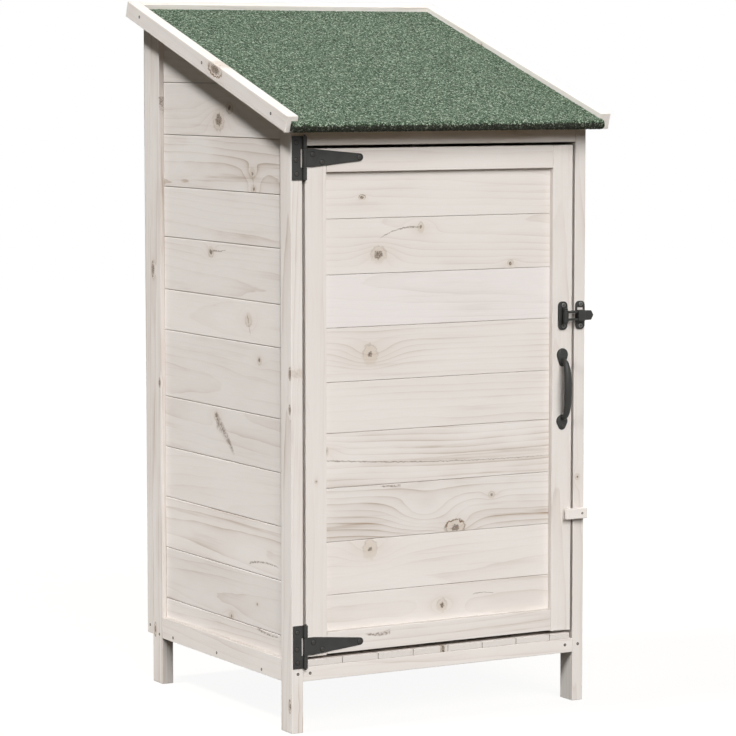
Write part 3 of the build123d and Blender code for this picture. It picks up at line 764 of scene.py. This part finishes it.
# ironwork: plates, knuckles, latch and handle, in millimetres, but with bevels in metres
def merge(name, solids, material, body, replaces=(), smooth=False):
    verts, faces = [], []
    for bm in solids:
        base = len(verts)
        bm.verts.index_update()
        verts += [tuple(v.co) for v in bm.verts]
        faces += [[base + v.index for v in f.verts] for f in bm.faces]
        bm.free()
    mesh = bpy.data.meshes.new(name)
    mesh.from_pydata(verts, [], faces)
    return finish_piece(name, mesh, material, body, replaces, smooth)


def plate(outline, d0, d1, bevel=0.0005):
    return prism([(across(x), z / 1000) for x, z in outline], "y", behind(d0), behind(d1), bevel)


def upright(x, d, r, z0, z1, bevel=0.0006):
    return prism(circle(across(x), behind(d), r / 1000), "z", z0 / 1000, z1 / 1000, bevel)


def block(x0, x1, d0, d1, z0, z1, bevel):
    outline = rect(across(x0), across(x1), behind(d0), behind(d1))
    return prism(outline, "z", z0 / 1000, z1 / 1000, bevel)


SHEET = -2.0
SCREW_SIDES = 20
SCREW_RINGS = ((1.0, 0.0), (1.0, 0.45), (0.82, 0.9), (0.4, 1.0))


def front_screws(name, spots, body, r, proud, metal=IRON_SCREW):
    """Cross-headed screws in a front face: spots are (x, depth of the face, z, turn in degrees)."""
    heads, slots, rims = [], [], []
    for x, d, z, turn in spots:
        # the ring round the head is painted shade
        rim = circle(across(x), z / 1000, r * 0.00124)
        rims.append(prism(rim, "y", behind(d - 0.12), behind(d + 0.3), 0.00005, 1))
        rings = []
        for size, out in SCREW_RINGS:
            rings.append([at(u, d - proud * out, v) for u, v in circle(x, z, r * size, SCREW_SIDES)])
        heads.append(stacked(rings))
        # the cross slot is a dark inset: painted shade in its recess
        half, thick = r * 0.55, r * 0.13
        for step in (0, 90):
            c, s = math.cos(math.radians(turn + step)), math.sin(math.radians(turn + step))
            corners = [(x + a * c - b * s, z + a * s + b * c) for a, b in rect(-half, half, -thick, thick)]
            slots.append(plate(corners, d - proud * 1.04, d - proud * 0.6, 0.00005))
    merge(name + "_heads", heads, metal, body, smooth=True)
    merge(name + "_slots", slots, PIT, body)
    merge(name + "_rims", rims, SHADE, body)


# tee hinges: a leaf on the post, a tapering strap on the door, knuckles of both on one pin
HINGES = (("top", 901.0), ("bottom", 137.0))
LEAF_LEFT, LEAF_RIGHT, LEAF_HALF = 1.5, 16.7, 34.0
PIN_X, PIN_D, PIN_R, PIN_OVER = 22.5, -3.6, 1.9, 2.0
KNUCKLE_R, KNUCKLE_LEFT, KNUCKLE_FROM = 3.6, 16.0, 14.5
STRAP_HALF, STRAP_NECK, TIP_X, TIP_R = 14, 38.5, 121.5, 6
TIP_TURNS = [math.radians(turn) for turn in range(-84, 85, 12)]
for word, mid in HINGES:
    low, high = mid - LEAF_HALF, mid + LEAF_HALF
    solids = [plate(rect(LEAF_LEFT, LEAF_RIGHT, low, high), SHEET, 0.0)]
    for z0, z1 in ((low, mid - KNUCKLE_FROM), (mid + KNUCKLE_FROM, high)):
        solids.append(plate(rect(KNUCKLE_LEFT, PIN_X, z0, z1), SHEET, 0.0, 0.0003))
        solids.append(upright(PIN_X, PIN_D, KNUCKLE_R, z0, z1))
    solids.append(upright(PIN_X, PIN_D, PIN_R, low - PIN_OVER, high + PIN_OVER))
    merge("iron_" + word + "_hinge_plate", solids, IRON, "frame", [word + "_hinge_plate"])
    low, high = mid - STRAP_HALF, mid + STRAP_HALF
    tip = [(TIP_X + TIP_R * math.cos(a), mid + TIP_R * math.sin(a)) for a in TIP_TURNS]
    strap = [(PIN_X, low), (STRAP_NECK, low)] + tip + [(STRAP_NECK, high), (PIN_X, high)]
    solids = [plate(strap, SHEET, 0.0), upright(PIN_X, PIN_D, KNUCKLE_R, low, high)]
    merge("iron_" + word + "_hinge_strap", solids, IRON, "door", [word + "_hinge_strap"])
    leaf_spots = [(8.6, SHEET, mid + 24, 20), (8.0, SHEET, mid - 3, 65), (9.2, SHEET, mid - 24.5, 40)]
    strap_spots = [(37.5, SHEET, mid + 5.6, 35), (54.0, SHEET, mid - 6.8, 10), (120.5, SHEET, mid, 50)]
    front_screws("leaf_screws_" + word, leaf_spots, "frame", 3.3, 0.6, DARK_SCREW)
    front_screws("strap_screws_" + word, strap_spots, "door", 3.6, 0.8, DARK_SCREW)

# the latch: a lever on a barrel between two lugs, its head over the keeper's stud
BASE_X, LATCH_Z, KEEPER_X, STUD_X = 501.4, 638.2, 535.0, 531.4
LATCH_HALF, LATCH_HALF_HIGH, LATCH_CORNER = 9.0, 23.2, 7.0
BARREL_D, BARREL_R, BARREL_PIN, BARREL_HALF = -9.0, 4.0, 1.8, 9.0
LUG_FROM, LUG_TO, PIN_TO = 9.5, 12.5, 12.9
ARM_FROM, ARM_TO, LEVER_HALF, LEVER_POINT = 4.3, 8.0, 9.0, 8
STUD_R, SOCKET_R, SOCKET_SIDES = 2.5, 4.5, 20
LEAST_REACH = 1e-6


def latch_plate(cx):
    """The outline of a latch plate: an upright strip with its corners rounded off."""
    pts = []
    for side_x, side_z, start in ((1, 1, 0), (-1, 1, 90), (-1, -1, 180), (1, -1, 270)):
        mid_x = cx + side_x * (LATCH_HALF - LATCH_CORNER)
        mid_z = LATCH_Z + side_z * (LATCH_HALF_HIGH - LATCH_CORNER)
        for i in range(7):
            a = math.radians(start + 15 * i)
            pts.append((mid_x + LATCH_CORNER * math.cos(a), mid_z + LATCH_CORNER * math.sin(a)))
    return pts


bed = rect(BASE_X - LATCH_HALF, BASE_X + BARREL_R, LATCH_Z - LUG_TO, LATCH_Z + LUG_TO)
solids = [plate(latch_plate(BASE_X), SHEET, 0.0, 0.0006), plate(bed, -4.4, -1.0, 0.0012)]
for z0, z1 in ((LATCH_Z + LUG_FROM, LATCH_Z + LUG_TO), (LATCH_Z - LUG_TO, LATCH_Z - LUG_FROM)):
    solids.append(upright(BASE_X, BARREL_D, BARREL_R, z0, z1))
    solids.append(block(BASE_X - BARREL_R, BASE_X + BARREL_R, BARREL_D, -1.0, z0, z1, 0.0004))
solids.append(upright(BASE_X, BARREL_D, BARREL_PIN, LATCH_Z - PIN_TO, LATCH_Z + PIN_TO))
merge("iron_latch_base", solids, IRON, "door", ["latch_base"])

# the lever: a barrel, two arms, a head with the stud's socket under it, and a pointed finger end
root, head, nose = BASE_X + BARREL_R, BASE_X + 23.4, BASE_X + 36.8
low, high = LATCH_Z - BARREL_HALF, LATCH_Z + BARREL_HALF
solids = [upright(BASE_X, BARREL_D, BARREL_R, low, high), block(BASE_X, root, -13.0, -5.0, low, high, 0.0007)]
for z0, z1 in ((LATCH_Z + ARM_FROM, LATCH_Z + ARM_TO), (LATCH_Z - ARM_TO, LATCH_Z - ARM_FROM)):
    solids.append(plate(rect(root - 1, head + 1, z0, z1), -11.0, -7.0))
solids.append(plate(rect(head, nose, LATCH_Z - LEVER_HALF, LATCH_Z + LEVER_HALF), -13.0, BARREL_D, 0.0011))
bore = circle(STUD_X, LATCH_Z, SOCKET_R, SOCKET_SIDES)
for inner in zip(bore, bore[1:] + bore[:1]):
    outer = []
    for x, z in reversed(inner):
        u, v = x - STUD_X, z - LATCH_Z
        room = nose - STUD_X if u > 0 else STUD_X - head
        reach = min(room / max(abs(u), LEAST_REACH), LEVER_HALF / max(abs(v), LEAST_REACH))
        outer.append((STUD_X + u * reach, LATCH_Z + v * reach))
    solids.append(plate([*inner, *outer], -9.6, -5.0, 0.00001))
low, high = LATCH_Z - LEVER_POINT, LATCH_Z + LEVER_POINT
neck, point = BASE_X + 49.5, BASE_X + 54
finger = [(nose - 1, low), (neck, low), (point, LATCH_Z), (neck, high), (nose - 1, high)]
solids.append(plate(finger, -11.0, -7.0, 0.0014))
merge("iron_latch_lever", solids, IRON, "lever", ["latch_lever"])

# the keeper: a plate with a slot near its top, and the stud that the lever's head drops over
SLOT_LOW, SLOT_HIGH, SLOT_HALF = 8.6, 13.0, 5.75
left, right = KEEPER_X - LATCH_HALF, KEEPER_X + LATCH_HALF
outline = latch_plate(KEEPER_X)
upper = [q for q in outline if q[1] > LATCH_Z + SLOT_HIGH]
upper += [(left, LATCH_Z + SLOT_HIGH), (right, LATCH_Z + SLOT_HIGH)]
lower = [(right, LATCH_Z + SLOT_LOW), (left, LATCH_Z + SLOT_LOW)]
lower += [q for q in outline if q[1] < LATCH_Z - SLOT_HIGH]
solids = [plate(upper, SHEET, 0.0, 0.0006), plate(lower, SHEET, 0.0, 0.0006)]
for x0, x1 in ((left, KEEPER_X - SLOT_HALF), (KEEPER_X + SLOT_HALF, right)):
    solids.append(plate(rect(x0, x1, LATCH_Z + 8.0, LATCH_Z + 13.6), SHEET, 0.0, 0.0003))
solids.append(plate(circle(STUD_X, LATCH_Z, STUD_R), BARREL_D, -1.0, 0.0004))
merge("iron_latch_keeper", solids, IRON, "frame", ["latch_keeper"])
base_spots = [(BASE_X + 1.0, SHEET, LATCH_Z + 17.2, 15), (BASE_X + 1.0, SHEET, LATCH_Z - 16.6, 50)]
keeper_spots = [(KEEPER_X + 0.6, SHEET, LATCH_Z + 18.2, 30), (KEEPER_X + 0.6, SHEET, LATCH_Z - 17.4, 5)]
front_screws("latch_screws", base_spots, "door", 3.9, 1.0)
front_screws("keeper_screws", keeper_spots, "frame", 3.9, 1.0)


# the pull handle: a bowed grip between an egg-shaped and a heart-shaped pad
def dome(cx, cz, outline, thick):
    """A pad on the stile: outline points round its middle, domed towards the front."""
    rings = []
    for size, out in ((1.0, 0.0), (1.0, 0.45), (0.9, 0.8), (0.6, 0.97), (0.25, 1.0)):
        rings.append([at(cx + u * size, -thick * out, cz + v * size) for u, v in outline])
    return stacked(rings)


def grip(cx, stations, sides=20):
    """A swept grip: stations are (depth, height, half width, half thickness)."""
    rings = []
    for i, (d, z, w, h) in enumerate(stations):
        before, after = stations[max(i - 1, 0)], stations[min(i + 1, len(stations) - 1)]
        run = Vector((0, after[0] - before[0], after[1] - before[1])).normalized()
        out = RIGHT.cross(run)
        ring = [Vector((cx, d, z)) + RIGHT * (w * u) + out * (h * v) for u, v in circle(0, 0, 1.0, sides)]
        rings.append([at(p.x, p.y, p.z) for p in ring])
    return stacked(rings)


def teardrop(wide, high, tip):
    """The outline of a pad round the middle of its round end: half width, whole height, lower radius."""
    drop = high - wide - tip
    lean = math.asin((wide - tip) / drop)
    pts = []
    for i in range(25):
        a = -lean + (math.pi + 2 * lean) * i / 24
        pts.append((wide * math.cos(a), wide * math.sin(a)))
    for i in range(11):
        a = math.pi + lean + (math.pi - 2 * lean) * i / 10
        pts.append((tip * math.cos(a), tip * math.sin(a) - drop))
    return pts


HANDLE_X, PAD_TOP, PAD_BASE, PAD_THICK, PAD_HALF = 501.5, 574.5, 466.0, 3.2, 10.5
GRIP_TOP, GRIP_BASE = PAD_TOP - 9.0, PAD_BASE + 5.0
GRIP_LEAD = 0.25 * (GRIP_TOP - GRIP_BASE)
GRIP_NEAR, GRIP_FAR = -2.0, -19.6
GRIP_STEPS = 48
stations = []
for i in range(GRIP_STEPS + 1):
    s = i / GRIP_STEPS
    q = 1 - s
    bow = q ** 5 + s ** 5
    d = GRIP_NEAR * bow + GRIP_FAR * (1 - bow)
    z = GRIP_TOP * (q ** 5 + 5 * q ** 4 * s) + (GRIP_TOP - GRIP_LEAD) * 10 * q ** 3 * s ** 2
    z += (GRIP_BASE + GRIP_LEAD) * 10 * q ** 2 * s ** 3 + GRIP_BASE * (5 * q * s ** 4 + s ** 5)
    swell = math.sin(math.pi * s) ** 1.4
    stations.append((d, z, 4.0 + 3.1 * swell, 3.8 + 0.7 * swell))
solids = [
    dome(HANDLE_X, PAD_TOP, teardrop(PAD_HALF, 30.0, 6.0), PAD_THICK),
    dome(HANDLE_X, PAD_BASE, teardrop(PAD_HALF, 25.0, 7.0), PAD_THICK),
    grip(HANDLE_X, stations)]
merge("iron_door_handle", solids, IRON, "door", ["door_handle"], smooth=True)
front_screws("handle_screw_top", [(HANDLE_X - 1.0, -3.0, 580.0, 25)], "door", 2.6, 0.6, DARK_SCREW)
front_screws("handle_screw_bottom", [(HANDLE_X - 0.5, -3.0, 457.5, 60)], "door", 2.6, 0.6, DARK_SCREW)

# the wooden turn button on its screw and spacer
BUTTON_X, BUTTON_Z, SPACER_R, SPACER_D, BUTTON_FACE = 535.0, 313, 6.5, -5.0, -12
# its low tone is painted shade, taking back the light that the left_leg lamp adds to its front
timber("turn_button", RIGHT, -BACK, "button", tone=0.93, strength=0.5, bevel=0.0013)
spacer = plate(circle(BUTTON_X, BUTTON_Z, SPACER_R), SPACER_D, 0.0, 0.0004)
merge("spacer_turn_button", [spacer], ZINC, "frame", ["turn_button_screw"])

# wood screws and nails: a sunk head in a countersink painted dark brown, as painted shade
SUNK_SIDES, SUNK_DEEP, SUNK_TAPER = 14, 0.0004, 0.94
PIT_SIZE, PIT_LIFT, HEAD_SIZE, HEAD_LIFT = 1.25, 0.00012, 0.55, 0.00030


def sunk(name, spots, body):
    """spots are (point on the face, outward direction, radius)."""
    pits, heads = [], []
    for point, out, r in spots:
        side = out.cross(UP if abs(out.z) < 0.9 else RIGHT).normalized()
        rise = side.cross(out)
        for bag, size, lift in ((pits, PIT_SIZE, PIT_LIFT), (heads, HEAD_SIZE, HEAD_LIFT)):
            spokes = [side * u + rise * v for u, v in circle(0, 0, r * size, SUNK_SIDES)]
            low = [point + spoke - out * SUNK_DEEP for spoke in spokes]
            high = [point + spoke * SUNK_TAPER + out * lift for spoke in spokes]
            bag.append(stacked([low, high]))
    merge(name + "_pits", pits, PIT, body)
    merge(name + "_heads", heads, ZINC, body)


spots = []
for d, z, r in ((420, 86, 0.0021), (259, 87, 0.0021), (102, 86, 0.0021), (507, 95, 0.002), (472, 84, 0.002)):
    spots += [(at(0, d, z), -RIGHT, r), (at(RIGHT_FACE, d, z), RIGHT, r)]
for x, z in ((10.8, 94), (32.5, 94), (510.4, 94.6), (535.5, 94.3)):
    spots.append((at(x, 0, z), -BACK, 0.0021))
for x, z in ((18, 100), (527, 100), (18, 1098), (527, 1098), (90, 99), (272, 99), (455, 99)):
    spots.append((at(x, BACK_FACE, z), BACK, 0.0022))
sunk("frame_screws", spots, "frame")
spots = []
for d, z in ((481.7, 1123.6), (253, 1047.8), (18.6, 969.6)):
    spots += [(at(BARGE_LEFT, d, z), -RIGHT, 0.0022), (at(BARGE_RIGHT, d, z), RIGHT, 0.0022)]
sunk("barge_nails", spots, "frame")
sunk("button_screw", [(at(BUTTON_X, BUTTON_FACE, BUTTON_Z), -BACK, 0.0017)], "frame")


# light, floor and camera
def aim(obj, place, direction):
    obj.location = place
    obj.rotation_euler = direction.to_track_quat("-Z", "Y").to_euler()


def sun(name, level, spread, place, direction):
    """A sun lamp; a level of 1 lights a white face square to it to full white."""
    data = bpy.data.lights.new(name, "SUN")
    data.energy = math.pi * level
    data.angle = math.radians(spread)
    obj = bpy.data.objects.new(name, data)
    scene.collection.objects.link(obj)
    aim(obj, Vector(place), Vector(direction))
    return obj


def link_light(light, pieces, state):
    """Light linking: the lamp lights only, or leaves out, the named pieces."""
    group = bpy.data.collections.new("light_group_" + light.name)
    for name in pieces:
        group.objects.link(bpy.data.objects[name])
    for link in group.collection_objects:
        link.light_linking.link_state = state
    light.light_linking.receiver_collection = group


scene = bpy.context.scene
ROOF = ("felt_sheet", "felt_nose", "wood_left_barge_board", "wood_right_barge_board", "wood_back_roof_trim")
LEDGES = ("wood_left_bottom_rail", "wood_right_bottom_rail", "wood_back_bottom_rail")
SILL = ("wood_door_bottom_rail",)
SLATS = ("boards_floor_boards",)
LEG = ("wood_front_right_post", "wood_turn_button")
STILE = ("wood_door_right_stile",)
BACKS = (
    "boards_back_wall_boards", "boards_right_wall_boards", "boards_door_boards", "wood_back_left_stile",
    "wood_back_right_stile", "wood_back_top_rail", "wood_back_bottom_rail", "wood_right_bottom_rail",
    "wood_back_right_post", "wood_front_right_post", "wood_door_left_stile", "wood_door_right_stile",
    "wood_door_top_rail", "wood_door_bottom_rail", "wood_back_roof_trim", "wood_right_barge_board")

# each lamp: name, level, spread in degrees, place, direction, then the pieces it leaves out or lights alone
LAMPS = (
    ("front_soft", 1.03, 42, (0, -4, 2), (0.12, 1.0, -0.68), LEDGES + SILL + SLATS, "EXCLUDE"),
    ("left_key", 1.2, 9, (-3, 0, 4), (1.0, -0.15, -1.8), ROOF + LEDGES + SILL + SLATS, "EXCLUDE"),
    ("left_low", 0.66, 12, (-4, -1, 2), (1.0, 0.3, -0.55), ROOF, "INCLUDE"),
    ("left_ledge", 0.95, 12, (-4, -1, 1), (1.0, 0.3, -0.7), LEDGES, "INCLUDE"),
    ("front_sill", 0.95, 42, (0, -4, 1), (0.12, 1.0, -0.5), SILL, "INCLUDE"),
    ("front_slats", 1.02, 8, (0, -3, 3), (0.12, 1.0, -0.8), SLATS, "INCLUDE"),
    ("left_leg", 0.46, 10, (-4, -1, 0.5), (1.0, 0.28, -0.4), LEG, "INCLUDE"),
    ("left_stile", 0.16, 12, (-4, -1, 0.8), (1.0, 0.2, -0.12), STILE, "INCLUDE"),
    ("back_fill", 0.5, 30, (3, 3, 2), (-1.0, -0.8, -0.5), (), None),
    ("back_soft", 0.6, 30, (3, 3, 1), (-0.8, -1.0, -0.2), BACKS, "INCLUDE"),
)
for name, level, spread, place, direction, pieces, state in LAMPS:
    made = sun(name, level, spread, place, direction)
    if pieces:
        link_light(made, pieces, state)

# a white backdrop that lights the shed only a little, and warmly
SKY_SEEN, SKY_LIGHT, SKY_TINT = 0.93, 0.07, (1.0, 0.94, 0.84)
world = bpy.data.worlds.new("studio")
scene.world = world
world.use_nodes = True
wt = world.node_tree
wt.nodes.clear()
seen = seen_directly(wt)
strength = math_node(wt, "MULTIPLY_ADD", seen, SKY_SEEN, SKY_LIGHT)
tint = mix_colour(wt, seen, SKY_TINT, (1.0, 1.0, 1.0))
show(wt, node(wt, "ShaderNodeBackground", {"Color": tint, "Strength": strength}), "ShaderNodeOutputWorld")

# a floor that looks as white as the backdrop
FLOOR_HALF, FLOOR_GLOW = 9, 0.93
floor_mat, ft = new_material("pale_floor")
spot = node(ft, "ShaderNodeTexCoord").outputs["Object"]
shine = math_node(ft, "MULTIPLY", seen_directly(ft), FLOOR_GLOW)
pale = mix_colour(ft, noise(ft, spot, 6.0, 2.0), srgb(69, 65, 57), srgb(73, 69, 61))
matt = node(ft, "ShaderNodeBsdfDiffuse", {"Color": pale, "Roughness": 0.5})
glow = node(ft, "ShaderNodeEmission", {"Color": (1, 1, 1, 1), "Strength": shine})
show(ft, node(ft, "ShaderNodeAddShader", {0: matt.outputs[0], 1: glow.outputs[0]}))
floor_mesh = bpy.data.meshes.new("floor")
corners = rect(-FLOOR_HALF, FLOOR_HALF, -FLOOR_HALF, FLOOR_HALF)
floor_mesh.from_pydata([(x, y, 0) for x, y in corners], [], [(0, 1, 2, 3)])
floor_mesh.materials.append(floor_mat)
floor = bpy.data.objects.new("floor", floor_mesh)
scene.collection.objects.link(floor)

# the camera, as fitted to the photo: turned to the right, tipped down, at a distance in millimetres
YAW, DIP = math.radians(29.814), math.radians(5.493)
CAMERA_FAR, CAMERA_ASIDE, CAMERA_HIGH = 4882.514, 137.041, 1039.567
cam_data = bpy.data.cameras.new("camera")
cam_data.sensor_width = 36.0
cam_data.lens = 152.694
cam_data.clip_end = 60.0
cam = bpy.data.objects.new("camera", cam_data)
scene.collection.objects.link(cam)
cam_place = at(CAMERA_ASIDE - CAMERA_FAR * math.sin(YAW), -CAMERA_FAR * math.cos(YAW), CAMERA_HIGH)
ahead = Vector((math.sin(YAW) * math.cos(DIP), math.cos(YAW) * math.cos(DIP), -math.sin(DIP)))
aim(cam, cam_place, ahead)
scene.camera = cam
scene.view_settings.view_transform = "Standard"
